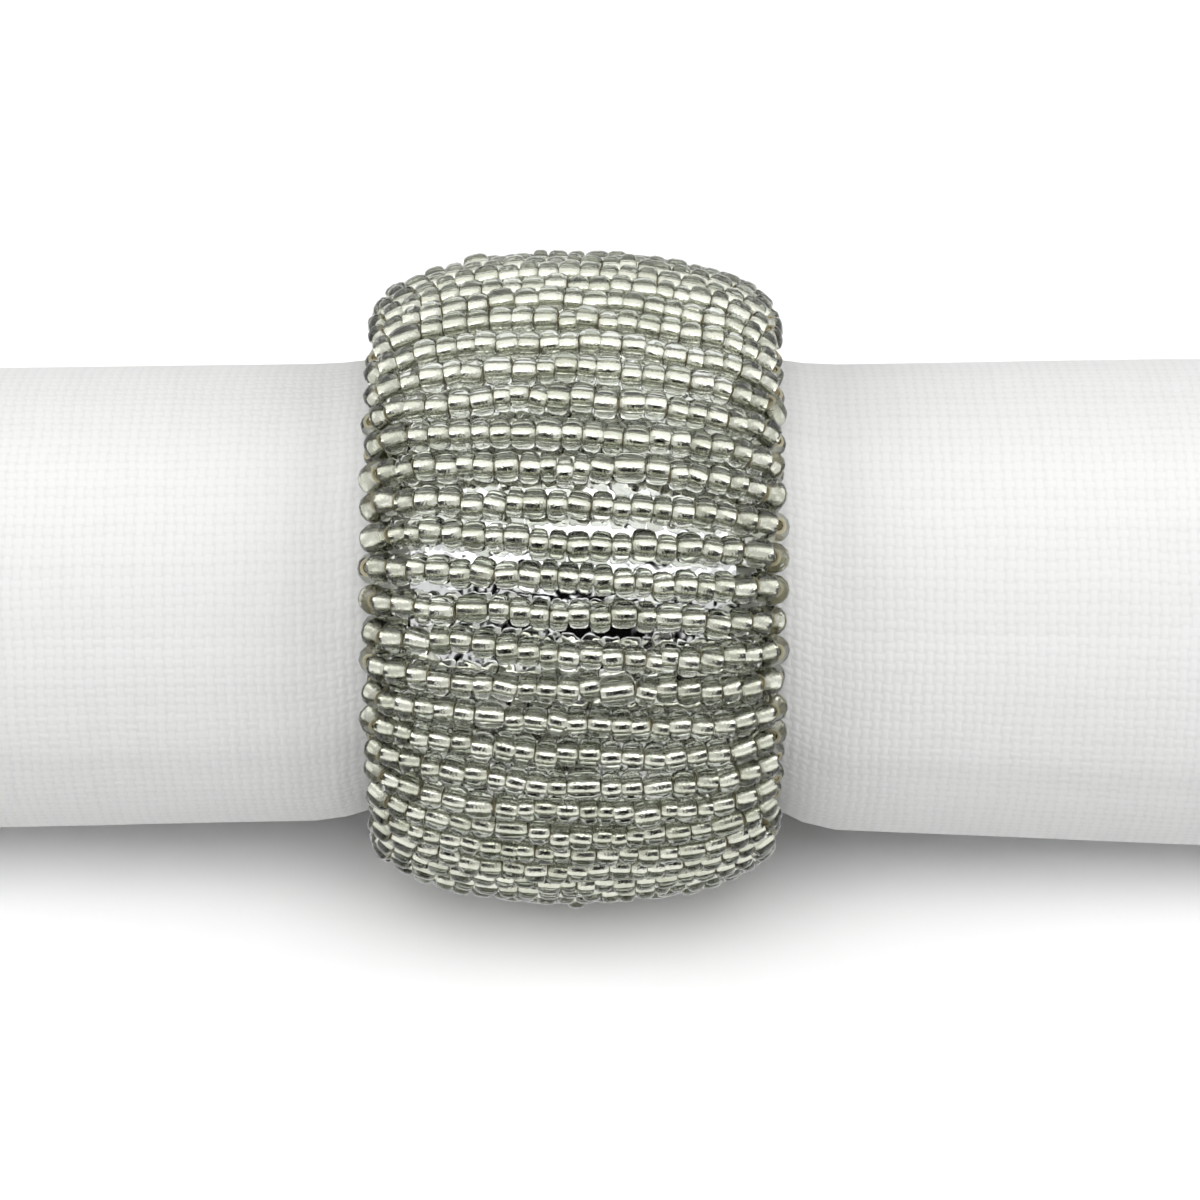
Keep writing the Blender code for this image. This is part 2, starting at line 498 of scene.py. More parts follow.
def joined_copies(name: str, template: bpy.types.Object, placed: Placed) -> bpy.types.Object:
    """Copies one modelled shape to many places as a single mesh.

    Args:
        name: The new object's name.
        template: The modelled shape, at the origin.
        placed: Where each copy goes, with a value from 0 to 1 that is kept on its faces.

    Returns:
        The joined object at the origin.
    """
    mesh = template.data
    base = read_rows(mesh.vertices, "co", float, 3)
    base = np.hstack([base, np.ones((len(base), 1))])
    loops = read_rows(mesh.loops, "vertex_index", np.int64)
    totals = read_rows(mesh.polygons, "loop_total", np.int64)
    finish = read_rows(mesh.polygons, "material_index", np.int32)
    matrices = np.array([np.array(matrix) for matrix, _ in placed])
    places = np.einsum("nij,vj->nvi", matrices, base)[:, :, :3].reshape(-1, 3)
    corners = (loops[None, :] + (np.arange(len(placed)) * len(base))[:, None]).reshape(-1)
    sizes = np.tile(totals, len(placed))
    made = bpy.data.meshes.new(name)
    made.vertices.add(len(places))
    made.vertices.foreach_set("co", places.reshape(-1))
    made.loops.add(len(corners))
    made.loops.foreach_set("vertex_index", corners.astype(np.int32))
    made.polygons.add(len(sizes))
    starts = np.concatenate([[0], np.cumsum(sizes)[:-1]]).astype(np.int32)
    made.polygons.foreach_set("loop_start", starts)
    made.polygons.foreach_set("material_index", np.tile(finish, len(placed)))
    made.update(calc_edges=True)
    made.validate()
    tone = made.attributes.new("tone", "FLOAT", "FACE")
    tone.data.foreach_set("value", np.repeat(np.array([value for _, value in placed]), len(totals)))
    made.shade_smooth()
    obj = bpy.data.objects.new(name, made)
    bpy.context.scene.collection.objects.link(obj)
    return obj


def curve_through(points: list[tuple[float, float]], steps: int) -> np.ndarray:
    """Runs a smooth line through points.

    Args:
        points: The points to pass, in order.
        steps: Points made for each stretch.

    Returns:
        The line's points, evenly many on each stretch.
    """
    pts = np.array([points[0], *points, points[-1]], dtype=float)
    pts[0] = 2 * pts[1] - pts[2]
    pts[-1] = 2 * pts[-2] - pts[-3]
    line = []
    for i in range(1, len(pts) - 2):
        p0, p1, p2, p3 = pts[i - 1 : i + 3]
        square = 2 * p0 - 5 * p1 + 4 * p2 - p3
        cube = 3 * p1 - p0 - 3 * p2 + p3
        for t in np.linspace(0.0, 1.0, steps, endpoint=False):
            line.append(0.5 * ((2 * p1) + (p2 - p0) * t + square * t**2 + cube * t**3))
    line.append(pts[-2])
    return np.array(line)


def run_along(line: np.ndarray) -> np.ndarray:
    """Gives the length run at each point of a line."""
    return np.concatenate([[0.0], np.cumsum(np.linalg.norm(np.diff(line, axis=0), axis=1))])


def summed(waves: list[Triple], x: float, span: float) -> float:
    """Adds up waves of (height, number, phase) at a place."""
    return sum(height * math.sin(number * x / span + phase) for height, number, phase in waves)


@dataclass
class DomedBand:
    """The ring's bright domed band, smooth and very slightly uneven from hand polishing."""

    crown: float = 24.42 * MM
    half: float = 12.6 * MM
    rise: float = 1.85 * MM
    bore: float = 21.6 * MM
    dome_points: int = 20
    wall_points: int = 6
    around: int = 196
    swell: float = 0.02 * MM
    swell_waves: tuple[Triple, ...] = ((7.0, 260.0, 0.0), (11.0, -410.0, 1.0))
    crease: float = math.radians(40)

    def section(self) -> list[tuple[float, float]]:
        """Draws the closed outline of the band's wall.

        Returns:
            Its points, as the place along the roll and the radius, the dome's first.
        """
        last = self.dome_points - 1
        dome = [-self.half + 2 * self.half * i / last for i in range(self.dome_points)]
        line = [(x, self.crown - self.rise * (x / self.half) ** 2) for x in dome]
        edge = 0.5 * (line[-1][1] + self.bore)
        line += [(self.half, edge), (self.half, self.bore), (self.half / 3, self.bore)]
        return line + [(-self.half / 3, self.bore), (-self.half, self.bore), (-self.half, edge)]

    def shape(self, mesh: bpy.types.Mesh) -> None:
        """Gives a torus of radius 1 the band's section.

        Args:
            mesh: The torus, its axis along Z. The band's axis runs along X.
        """
        across = self.dome_points + self.wall_points
        co = read_rows(mesh.vertices, "co", float, 3)
        turn = np.arctan2(co[:, 1], co[:, 0])
        place = np.arctan2(co[:, 2], np.hypot(co[:, 0], co[:, 1]) - 1.0)
        step = np.rint(place / (math.tau / across)).astype(int) % across
        line = np.array(self.section())
        x, r = line[step, 0], line[step, 1]
        swell = self.swell * sum(np.sin(k * turn + m * x + phase) for k, m, phase in self.swell_waves)
        r = np.where(step < self.dome_points, r + swell, r)
        done = np.stack([x, r * np.cos(turn), AXIS_HEIGHT + r * np.sin(turn)], axis=1)
        mesh.vertices.foreach_set("co", done.reshape(-1))
        mesh.update()

    def build(self, silver: bpy.types.Material) -> bpy.types.Object:
        """Models the band.

        Args:
            silver: The band's material.

        Returns:
            The band, in place of the solid of the same form.
        """
        clear_selection()
        bpy.ops.mesh.primitive_torus_add(
            major_segments=self.around,
            minor_segments=self.dome_points + self.wall_points,
            major_radius=1.0,
            minor_radius=0.2,
        )
        band = bpy.context.object
        band.name = "domed_band"
        self.shape(band.data)
        bpy.ops.object.mode_set(mode="EDIT")
        bpy.ops.mesh.select_all(action="SELECT")
        bpy.ops.mesh.normals_make_consistent(inside=False)
        bpy.ops.object.mode_set(mode="OBJECT")
        bpy.ops.object.shade_smooth_by_angle(angle=self.crease)
        band.data.materials.append(silver)
        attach(band, "root")
        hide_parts("ring_band")
        LOG.info("band: %d faces", len(band.data.polygons))
        return band


@dataclass
class SeedBead:
    """One glass seed bead, a short tube with rounded rims and a silver-lined hole."""

    radius: float = 1.20 * MM
    length: float = 1.64 * MM
    hole: float = 0.465 * MM
    rim: float = 0.46 * MM
    sides: int = 12
    lining_overlap: float = 0.012 * MM
    lining_share: float = 0.81
    thread_gap: float = 0.12 * MM
    thread_share: float = 1.03
    thread_sides: int = 7
    flat_end: float = 0.97
    slack: float = 0.05
    usual_length: tuple[float, float] = (1.60, 0.20)
    least_length: float = 1.15
    most_length: float = 2.15
    long_share: float = 0.04
    long_lengths: tuple[float, float] = (2.1, 2.8)

    def drawn_length(self, dice: random.Random) -> float:
        """Draws a bead's length: mostly near the mean, now and then much longer.

        Args:
            dice: The source of random draws.

        Returns:
            The length.
        """
        if dice.random() < self.long_share:
            return dice.uniform(*self.long_lengths) * MM
        return min(max(dice.gauss(*self.usual_length), self.least_length), self.most_length) * MM

    def glass(self, name: str, rim_steps: int) -> bpy.types.Object:
        """Models the glass with operators.

        Args:
            name: The template's name.
            rim_steps: Segments of the rounded rims.

        Returns:
            The template at the origin, its hole along Z, its end faces with the second material.
        """
        clear_selection()
        bpy.ops.mesh.primitive_cylinder_add(
            vertices=self.sides, radius=self.radius, depth=self.length, end_fill_type="NGON"
        )
        bead = bpy.context.object
        bead.name = name
        bpy.ops.object.mode_set(mode="EDIT")
        self.pick(bead, True, self.is_end)
        bpy.ops.mesh.inset(thickness=self.radius - self.hole)
        bpy.ops.mesh.bridge_edge_loops()
        self.pick(bead, False, self.on_rim)
        bpy.ops.mesh.bevel(offset=self.rim, segments=rim_steps, affect="EDGES")
        bpy.ops.mesh.select_all(action="SELECT")
        bpy.ops.mesh.normals_make_consistent(inside=False)
        bpy.ops.object.mode_set(mode="OBJECT")
        for face in bead.data.polygons:
            face.material_index = 1 if abs(face.normal.z) > self.flat_end else 0
        return bead

    def lining(self, name: str) -> bpy.types.Object:
        """Models the silver tube that lines the hole, a hair inside the glass."""
        return self.tube(name, self.sides, self.hole + self.lining_overlap, self.length * self.lining_share)

    def thread(self, name: str) -> bpy.types.Object:
        """Models the bit of thread that runs through one bead, a little longer than the bead."""
        return self.tube(name, self.thread_sides, self.hole - self.thread_gap, self.length * self.thread_share)

    @staticmethod
    def tube(name: str, sides: int, radius: float, length: float) -> bpy.types.Object:
        """Models an open tube round Z.

        Args:
            name: The template's name.
            sides: How many sides its round has.
            radius: Its radius.
            length: Its length.

        Returns:
            The tube at the origin.
        """
        clear_selection()
        bpy.ops.mesh.primitive_cylinder_add(
            vertices=sides, radius=radius, depth=length, end_fill_type="NOTHING"
        )
        tube = bpy.context.object
        tube.name = name
        return tube

    def is_end(self, face: bmesh.types.BMFace) -> bool:
        """True for a flat end of the plain cylinder."""
        return abs(face.normal.z) > self.flat_end

    def on_rim(self, edge: bmesh.types.BMEdge) -> bool:
        """True for an edge of the outer rim of either end."""
        first, second = (v.co for v in edge.verts)
        outer = all(math.hypot(co.x, co.y) > (1.0 - self.slack) * self.radius for co in (first, second))
        at_end = all(abs(co.z) > (0.5 - self.slack) * self.length for co in (first, second))
        return outer and at_end and abs(first.z - second.z) < self.slack * self.length

    @staticmethod
    def pick(obj: bpy.types.Object, faces: bool, test: Callable[..., bool]) -> None:
        """Selects only the faces or edges that pass a test.

        Args:
            obj: The object, in edit mode.
            faces: Whether it picks faces, and otherwise edges.
            test: The test.
        """
        bpy.ops.mesh.select_all(action="DESELECT")
        bpy.context.tool_settings.mesh_select_mode = (False, not faces, faces)
        shape = bmesh.from_edit_mesh(obj.data)
        for part in shape.faces if faces else shape.edges:
            part.select = test(part)
        shape.select_flush_mode()
        bmesh.update_edit_mesh(obj.data)


@dataclass(frozen=True)
class Spot:
    """Where one bead lies and how it is turned and stretched.

    The angle counts from +Y towards +Z. Along is the strand's direction in the plane of the roll's
    axis and the radius, slope how much it also runs round the ring, and tilt the small turns off it.
    """

    x: float
    radius: float
    angle: float
    along: Vector
    slope: float
    tilt: tuple[float, float]
    length: float
    thick: float


@dataclass(frozen=True)
class Row:
    """One row of beads, with its waves round the ring (radians) and off the band (metres)."""

    number: int
    waves: list[Triple]
    lifts: list[Triple]


@dataclass(frozen=True)
class Wrap:
    """The line of bead centres round one wrap: over the outside from the left edge, and back inside.

    The line's points are (along the roll, radius). Outside is the share of the length that lies outside.
    """

    line: np.ndarray
    run: np.ndarray
    length: float
    outside: float
    look_ahead: float = 0.3 * MM

    def at(self, mid: float) -> tuple[float, float]:
        """The place along the roll and the radius where a length has been run."""
        x, r = (float(np.interp(mid, self.run, self.line[:, i])) for i in (0, 1))
        return x, r

    def heading(self, mid: float) -> Vector:
        """Finds the strand's direction at a place.

        Args:
            mid: The place, as the length run.

        Returns:
            The direction along the roll (x) and away from its axis (z).
        """
        x0, r0 = self.at((mid - self.look_ahead) % self.length)
        x1, r1 = self.at((mid + self.look_ahead) % self.length)
        return Vector((x1 - x0, 0.0, r1 - r0))


@dataclass
class StrungBeads:
    """The strand of beads wound over and through the ring, one row beside the other."""

    rows: int = 56
    row_turn: float = math.tau / 56
    turn_outside: float = math.radians(4.2)
    width: float = 33 * MM
    crossing: float = 11.5 * MM
    wave_span: float = 5.5 * MM
    wave_heights: tuple[float, float] = (0.006, 0.012)
    wave_numbers: tuple[float, float] = (0.8, 1.3)
    lift_heights: tuple[float, float] = (0.05, 0.13)
    lift_numbers: tuple[float, float] = (1.5, 4.0)
    stray: float = 0.0045
    loose: float = 0.05 * MM
    raised: float = 0.35 * MM
    raised_share: float = 0.03
    tilts: tuple[float, float] = (0.08, 0.06)
    tilt_outwards: float = 0.7
    thick_spread: float = 0.035
    inner_thick: float = 0.93
    floor_gap: float = 0.004 * MM
    spacing: float = 1.01
    edge_point: int = 6
    path_steps: int = 24
    bead: SeedBead = field(default_factory=SeedBead)
    chunk: int = 850
    seed: int = 11
    half_path: tuple[tuple[float, float], ...] = (
        (0.0, 25.80), (4.2, 25.65), (8.4, 25.07), (11.7, 24.26), (13.75, 23.35), (15.05, 22.47), (15.6, 21.60),
        (15.3, 20.85), (14.5, 20.33), (13.0, 20.16), (9.0, 20.14), (4.5, 20.14), (0.0, 20.14),
    )

    def wrap(self) -> Wrap:
        """Lays the strand once round the band's wall.

        Returns:
            The wrap.
        """
        half = list(self.half_path)
        loop = [(-x, r) for x, r in half[self.edge_point : 0 : -1]] + half
        loop += [(-x, r) for x, r in half[-2 : self.edge_point - 1 : -1]]
        line = curve_through(loop, self.path_steps) * MM
        run = run_along(line)
        return Wrap(line, run, run[-1], run[int(np.argmax(line[:, 0]))] / run[-1])

    def turn_at(self, share: float, outside: float) -> float:
        """How far a wrap has turned about the roll's axis.

        Args:
            share: The share of the wrap's length that has been run.
            outside: The share of the wrap that lies outside the ring.

        Returns:
            The angle from the middle of the outside.
        """
        half = 0.5 * self.turn_outside
        if share < outside:
            return -half + 2 * half * share / outside
        return half + (self.row_turn - 2 * half) * (share - outside) / (1 - outside)

    def frames(self) -> dict[Layer, Placed]:
        """Places every bead.

        Returns:
            For each layer, each bead's matrix and its tone.
        """
        dice = random.Random(self.seed)
        wrap = self.wrap()
        placed: dict[Layer, Placed] = {layer: [] for layer in Layer}
        spare = 0.0
        for number in range(self.rows):
            row = self.drawn_row(dice, number)
            start = spare
            while start < wrap.length:
                length = self.bead.drawn_length(dice)
                side, spot = self.drawn_spot(dice, wrap, row, start, length)
                placed[side].append((self.place(spot), dice.random()))
                start += length * self.spacing
            spare = start - wrap.length
        return placed

    def drawn_row(self, dice: random.Random, number: int) -> Row:
        """Draws how one row wanders.

        Args:
            dice: The source of random draws.
            number: The row's number.

        Returns:
            The row.
        """
        waves = [
            (
                dice.uniform(*self.wave_heights) / k,
                k * dice.uniform(*self.wave_numbers),
                dice.uniform(0, math.tau),
            )
            for k in (1, 2, 3)
        ]
        lifts = [
            (
                dice.uniform(*self.lift_heights) * MM,
                k * dice.uniform(*self.lift_numbers),
                dice.uniform(0, math.tau),
            )
            for k in (1, 2)
        ]
        return Row(number, waves, lifts)

    def drawn_spot(
        self, dice: random.Random, wrap: Wrap, row: Row, start: float, length: float
    ) -> tuple[Layer, Spot]:
        """Draws where the next bead of a row lies.

        Args:
            dice: The source of random draws.
            wrap: The wrap that the row follows.
            row: The row.
            start: The length run where the bead starts.
            length: The bead's length.

        Returns:
            The side of the band that it lies on, and its spot.
        """
        number, mid = row.number, start + 0.5 * length
        if mid > wrap.length:
            number, mid = number + 1, mid - wrap.length
        share = mid / wrap.length
        x, r = wrap.at(mid)
        along = wrap.heading(mid)
        is_outside = share < wrap.outside
        window = math.sin(math.pi * share / wrap.outside) if is_outside else 0.0
        wave = summed(row.waves, x, self.wave_span) * window
        lift = summed(row.lifts, x, self.wave_span) * window
        stray = dice.gauss(0.0, self.stray) if is_outside else 0.0
        loose = dice.gauss(0.0, self.loose)
        is_raised = is_outside and dice.random() < self.raised_share
        lift += loose + (self.raised if is_raised else 0.0)
        turned = self.row_turn * number + self.turn_at(share, wrap.outside)
        slope = (self.turn_outside if is_outside else 0.0) / self.width * r
        tilt = (dice.gauss(0.0, self.tilts[0]), dice.gauss(0.0, self.tilts[1]))
        side = Layer.UPPER if is_outside or abs(x) > self.crossing else Layer.INNER
        spot = Spot(
            x=x,
            radius=r + (lift if is_outside else 0.0),
            angle=-0.5 * math.pi + turned + wave + stray,
            along=along,
            slope=slope * (1 if along.x > 0 else -1),
            tilt=tilt,
            length=length,
            thick=dice.gauss(1.0, self.thick_spread) if side is Layer.UPPER else self.inner_thick,
        )
        return side, spot

    def place(self, spot: Spot) -> Matrix:
        """Works out one bead's matrix.

        Args:
            spot: Where the bead lies and how it is turned and stretched.

        Returns:
            The matrix that carries the template bead to its place.
        """
        out = Vector((0.0, math.cos(spot.angle), math.sin(spot.angle)))
        around = Vector((0.0, -math.sin(spot.angle), math.cos(spot.angle)))
        axis = Vector((1.0, 0.0, 0.0)) * spot.along.x + out * spot.along.z
        axis.normalize()
        aside, outwards = spot.slope + spot.tilt[0], spot.tilt[1]
        axis = (axis + around * aside + out * outwards * self.tilt_outwards).normalized()
        side = around - axis * around.dot(axis)
        side.normalize()
        up = axis.cross(side)
        centre = out * spot.radius + Vector((spot.x, 0.0, AXIS_HEIGHT))
        reach = self.bead.radius * spot.thick
        centre.z = max(centre.z, reach + self.floor_gap)
        spin = Matrix((side, up, axis)).transposed().to_4x4()
        scale = Matrix.Diagonal((spot.thick, spot.thick, spot.length / self.bead.length, 1.0))
        return Matrix.Translation(centre) @ spin @ scale

    def build(
        self,
        glass: bpy.types.Material,
        ends: bpy.types.Material,
        silver: bpy.types.Material,
        thread: bpy.types.Material,
    ) -> list[bpy.types.Object]:
        """Builds the glass, linings and thread of all layers.

        Args:
            glass: The glass material.
            ends: The material of the beads' end faces.
            silver: The lining material.
            thread: The thread material.

        Returns:
            The joined objects.
        """
        fine = self.bead.glass("bead_fine", 2)
        plain = self.bead.glass("bead_plain", 1)
        tube = self.bead.lining("bead_tube")
        bit = self.bead.thread("thread_bit")
        placed = self.frames()
        made = []
        for layer, template in ((Layer.UPPER, fine), (Layer.INNER, plain)):
            beads = placed[layer]
            LOG.info("%s beads: %d", layer.value, len(beads))
            for part, start in enumerate(range(0, len(beads), self.chunk)):
                name = f"glass_beads_{layer.value}_{part + 1}"
                obj = joined_copies(name, template, beads[start : start + self.chunk])
                obj.data.materials.append(glass)
                obj.data.materials.append(ends)
                made.append(obj)
            obj = joined_copies(f"silver_linings_{layer.value}", tube, beads)
            obj.data.materials.append(silver)
            made.append(obj)
        obj = joined_copies("strand_thread", bit, placed[Layer.UPPER] + placed[Layer.INNER])
        obj.data.materials.append(thread)
        made.append(obj)
        for template in (fine, plain, tube, bit):
            bpy.data.objects.remove(template, do_unlink=True)
        for obj in made:
            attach(obj, "root")
            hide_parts("bead_wrap")
        return made


@dataclass
class Napkin:
    """A hemmed square napkin folded in thirds and rolled, narrowed where the ring grips it.

    Each station is a place along the roll, its radius there and how far its axis lies below the ring's.
    A ripple is its number round the roll, its run along it, its phase and its height in mm. The pinch
    beside the ring has a number, phase and height, and the slide of the turns a length, number and phase.
    """

    flat: float = 0.508
    half: float = 84.3 * MM
    cloth: float = 0.50 * MM
    layer_pitch: float = 0.56 * MM
    pitch: float = 2.1 * MM
    turns: float = 7.4
    steps_per_turn: int = 40
    outer_steps: int = 62
    inner_steps: int = 17
    fold_steps: int = 6
    flap: float = math.radians(300)
    step_down: float = 0.764
    mean_radius: float = 18.9 * MM
    grip: float = 20 * MM
    ripple_run: float = 60 * MM
    ripple_height: float = 1.2
    ripples: tuple[tuple[float, float, float, float], ...] = (
        (5, 11 * MM, 0.0, 0.10),
        (3, -17 * MM, 1.3, 0.16),
    )
    pinch_run: float = 9 * MM
    pinch: Triple = (13, 0.7, 0.07)
    slide: Triple = (0.8 * MM, 2.3, 0.6)
    stations: tuple[Triple, ...] = (
        (-84.5, 19.4, 3.6),
        (-50.0, 19.2, 2.65),
        (-20.0, 19.05, 1.95),
        (-16.9, 18.65, 0.8),
        (-13.0, 18.5, 0.05),
        (13.0, 18.5, 0.05),
        (16.9, 18.65, 0.8),
        (20.0, 19.4, 2.6),
        (50.0, 20.3, 3.4),
        (84.5, 20.6, 4.2),
    )

    def columns(self) -> list[tuple[float, float]]:
        """Lays out the folded width.

        Returns:
            Points of it, as the place along the roll and the depth below the outer face.
        """
        outer, plain = (
            [-self.half + 2 * self.half * i / steps for i in range(steps + 1)]
            for steps in (self.outer_steps, self.inner_steps)
        )
        fold = [math.pi * (i + 1) / self.fold_steps for i in range(self.fold_steps - 1)]
        d = self.layer_pitch
        cols = [(x, 0.5 * d) for x in outer]
        cols += [(self.half + 0.5 * d * math.sin(t), d - 0.5 * d * math.cos(t)) for t in fold]
        cols += [(x, 1.5 * d) for x in reversed(plain)]
        cols += [(-self.half - 0.5 * d * math.sin(t), 2 * d - 0.5 * d * math.cos(t)) for t in fold]
        cols += [(x, 2.5 * d) for x in plain]
        return cols

    def turns_in(self, back: np.ndarray) -> np.ndarray:
        """Counts the turns that lie outside a point.

        Args:
            back: How many turns back from the loose end the point is.

        Returns:
            The turns, with a soft step where each turn goes under the one before.
        """
        whole = np.floor(back)
        share = np.clip(back - whole - self.step_down, 0.0, None) / (1.0 - self.step_down)
        return whole + share * share * (3.0 - 2.0 * share)

    def build(self, linen: bpy.types.Material) -> bpy.types.Object:
        """Builds the rolled sheet.

        Args:
            linen: The cloth material.

        Returns:
            The napkin.
        """
        cols = self.columns()
        nx = len(cols)
        ny = int(self.turns * self.steps_per_turn) + 1
        clear_selection()
        bpy.ops.mesh.primitive_grid_add(x_subdivisions=nx - 1, y_subdivisions=ny - 1, size=2.0, calc_uvs=True)
        napkin = bpy.context.object
        napkin.name = "napkin"
        mesh = napkin.data
        co = read_rows(mesh.vertices, "co", float, 3)
        i = np.rint((1.0 - co[:, 0]) * 0.5 * (nx - 1)).astype(int)
        j = np.rint((1.0 - co[:, 1]) * 0.5 * (ny - 1)).astype(int)
        x, depth = np.array(cols)[i].T
        place = self.rolled(x, depth, j / self.steps_per_turn)
        mesh.vertices.foreach_set("co", place.reshape(-1))
        self.write_uv(mesh, i, j, cols, ny)
        mesh.update()
        mesh.shade_smooth()
        clear_selection()
        napkin.select_set(True)
        bpy.context.view_layer.objects.active = napkin
        wall = napkin.modifiers.new("Thickness", "SOLIDIFY")
        wall.thickness = self.cloth
        wall.offset = 0.0
        wall.use_even_offset = True
        bpy.ops.object.modifier_apply(modifier=wall.name)
        napkin.data.materials.append(linen)
        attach(napkin, "root")
        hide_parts("napkin_roll")
        LOG.info("napkin: %d faces", len(napkin.data.polygons))
        return napkin

    def rolled(self, x: np.ndarray, depth: np.ndarray, back: np.ndarray) -> np.ndarray:
        """Carries points of the folded napkin onto the roll, with soft ripples away from the ring.

        Args:
            x: Their places along the roll.
            depth: Their depths below the outer face.
            back: How many turns back from the loose end they are.

        Returns:
            Their places in space.
        """
        st = np.array(self.stations) * MM
        radius = np.interp(x, st[:, 0], st[:, 1])
        drop = np.interp(x, st[:, 0], st[:, 2])
        angle = self.flap - math.tau * back
        r = radius - self.pitch * self.turns_in(back) - depth
        far = np.clip((np.abs(x) - self.grip) / self.ripple_run, 0.0, 1.0)
        near = np.exp(-(((np.abs(x) - self.grip) / self.pinch_run) ** 2))
        ripple = sum(np.sin(k * angle + x / span + phase) * tall for k, span, phase, tall in self.ripples)
        number, phase, tall = self.pinch
        pinch = np.sin(number * angle + phase) * tall * near
        r = r + (ripple * far * self.ripple_height + pinch) * MM * (r / self.mean_radius)
        length, number, phase = self.slide
        slide = length * np.sin(number * back + phase) * np.clip(np.abs(x) / self.half, 0, 1) ** 3
        return np.stack([x + slide, r * np.cos(angle), AXIS_HEIGHT - drop + r * np.sin(angle)], axis=1)

    def write_uv(
        self, mesh: bpy.types.Mesh, i: np.ndarray, j: np.ndarray, cols: list[tuple[float, float]], ny: int
    ) -> None:
        """Gives each point its place on the flat napkin, from 0 to 1 each way.

        Args:
            mesh: The sheet before it gets its thickness.
            i: Each point's column.
            j: Each point's row.
            cols: The columns, as the place along the roll and the depth.
            ny: How many rows there are.
        """
        run_u = run_along(np.array(cols))
        back = np.arange(ny) / self.steps_per_turn
        angle = self.flap - math.tau * back
        r = self.mean_radius - self.pitch * self.turns_in(back) - 1.5 * self.layer_pitch
        run_v = run_along(np.stack([r * np.cos(angle), r * np.sin(angle)], axis=1))
        u = run_u[i] / run_u[-1]
        v = run_v[j] / run_v[-1]
        LOG.info("napkin flat: %.1f by %.1f mm", run_u[-1] / MM, run_v[-1] / MM)
        loops = read_rows(mesh.loops, "vertex_index", np.int64)
        uv = np.stack([u[loops], v[loops]], axis=1)
        mesh.uv_layers.active.data.foreach_set("uv", uv.reshape(-1))


@dataclass(frozen=True)
class Sky:
    """What bright metal and glass see: a bright roof, side walls, a dark opening in front, and ground."""

    zenith: float = 1.40
    horizon: float = 0.07
    roof_starts: tuple[float, float] = (0.48, 0.60)
    roof_lean: float = 0.4
    gap_across: tuple[float, float] = (-0.27, 0.33)
    gap_up: tuple[float, float] = (-0.50, 0.77)
    gap_soft: tuple[float, float] = (0.05, 0.03)
    gap_tone: float = 0.03
    walls: float = 0.82
    walls_reach: tuple[float, float] = (0.40, 1.5)
    walls_soft: float = 0.06
    ground_starts: tuple[float, float] = (-0.5, 0.1)
    ground_front: float = 0.15
    ground_back: float = 0.95
    ground_reach: tuple[float, float] = (-2.0, -0.14)
    ground_soft: float = 0.02
    seen_tone: float = 0.93

    def build(self) -> None:
        """Builds the world. Matt surfaces get no light from it."""
        world = bpy.data.worlds.new("studio")
        bpy.context.scene.world = world
        world.cycles_visibility.diffuse = False
        n = Nodes(world)
        x, y, z = n.add("SeparateXYZ", Vector=n.add("TexCoord").outputs["Generated"]).outputs
        lean = n.math("MULTIPLY_ADD", y, self.roof_lean, z)
        roof = n.ease(lean, *self.roof_starts, self.horizon, self.zenith)
        aside = n.band(n.math("ABSOLUTE", x), self.walls_reach, self.walls_soft)
        lit = n.math("MAXIMUM", roof, n.math("MULTIPLY", aside, self.walls))
        across = n.band(x, self.gap_across, self.gap_soft[0])
        up = n.band(z, self.gap_up, self.gap_soft[1])
        gap = n.math("MULTIPLY", n.math("MULTIPLY", across, up), n.math("LESS_THAN", y, 0.0))
        above = n.math("MULTIPLY", lit, n.math("MULTIPLY_ADD", gap, self.gap_tone - 1.0, 1.0))
        ground = n.ease(y, *self.ground_starts, self.ground_front, self.ground_back)
        below = n.math("MULTIPLY", n.band(z, self.ground_reach, self.ground_soft), ground)
        glow = n.add("Background", Color=(1.0, 1.0, 1.0, 1.0), Strength=n.math("MAXIMUM", above, below))
        wall = n.add("Background", Color=(self.seen_tone, self.seen_tone, self.seen_tone, 1.0))
        either = n.add("MixShader", Fac=n.add("LightPath").outputs["Is Camera Ray"])
        n.put(either.inputs[1], glow.outputs[0])
        n.put(either.inputs[2], wall.outputs[0])
        n.finish(either)


@dataclass(frozen=True)
class Lamp:
    """One area lamp aimed at the ring: size in metres, power in watts, whether glass and metal see it."""

    name: str
    size: tuple[float, float]
    power: float
    place: Triple
    seen: bool
    aim: Triple = (0.0, 0.0, 0.02)

    def build(self) -> None:
        """Hangs the lamp."""
        data = bpy.data.lights.new(self.name, "AREA")
        data.shape = "RECTANGLE"
        data.size, data.size_y = self.size
        data.energy = self.power
        lamp = bpy.data.objects.new(self.name, data)
        bpy.context.scene.collection.objects.link(lamp)
        lamp.location = self.place
        lamp.visible_glossy = self.seen
        lamp.visible_transmission = self.seen
        aim = Vector(self.aim) - lamp.location
        lamp.rotation_euler = aim.to_track_quat("-Z", "Y").to_euler()


